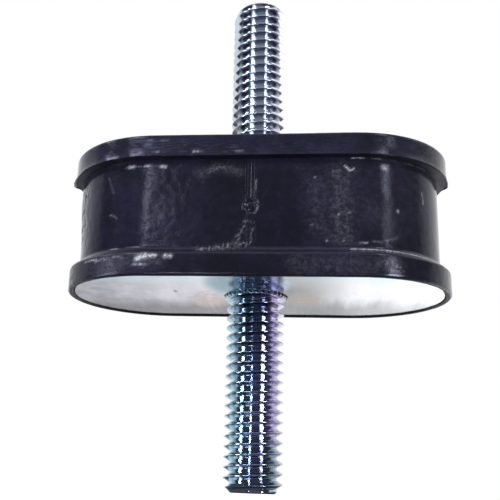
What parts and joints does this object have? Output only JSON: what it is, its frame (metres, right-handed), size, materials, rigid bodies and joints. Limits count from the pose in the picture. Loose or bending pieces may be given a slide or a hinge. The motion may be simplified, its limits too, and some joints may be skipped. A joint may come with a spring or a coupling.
{
  "type": "air cleaner isolator",
  "caption": "Round-ended rubber vibration mount with a steel plate bonded into each face and a threaded stud standing out of the middle of each plate.",
  "frame": {"origin": "centre of the lower plate's outer face, on the studs' axis", "axes": "+Z along the studs towards the upper stud, +X along the body's length, -Y towards the side with the gate mark"},
  "size_m": [0.0644, 0.0326, 0.0855],
  "materials": {
    "rubber": "moulded, satin, scuffed",
    "plate_zinc": "clear zinc plate, dull",
    "stud_zinc": "clear zinc plate, bright, faint blue and violet tint"
  },
  "bodies": {
    "root": {"rubber_body": "rubber", "lower_plate": "plate_zinc", "upper_plate": "plate_zinc", "lower_stud": "stud_zinc", "upper_stud": "stud_zinc"}
  },
  "joints": []
}
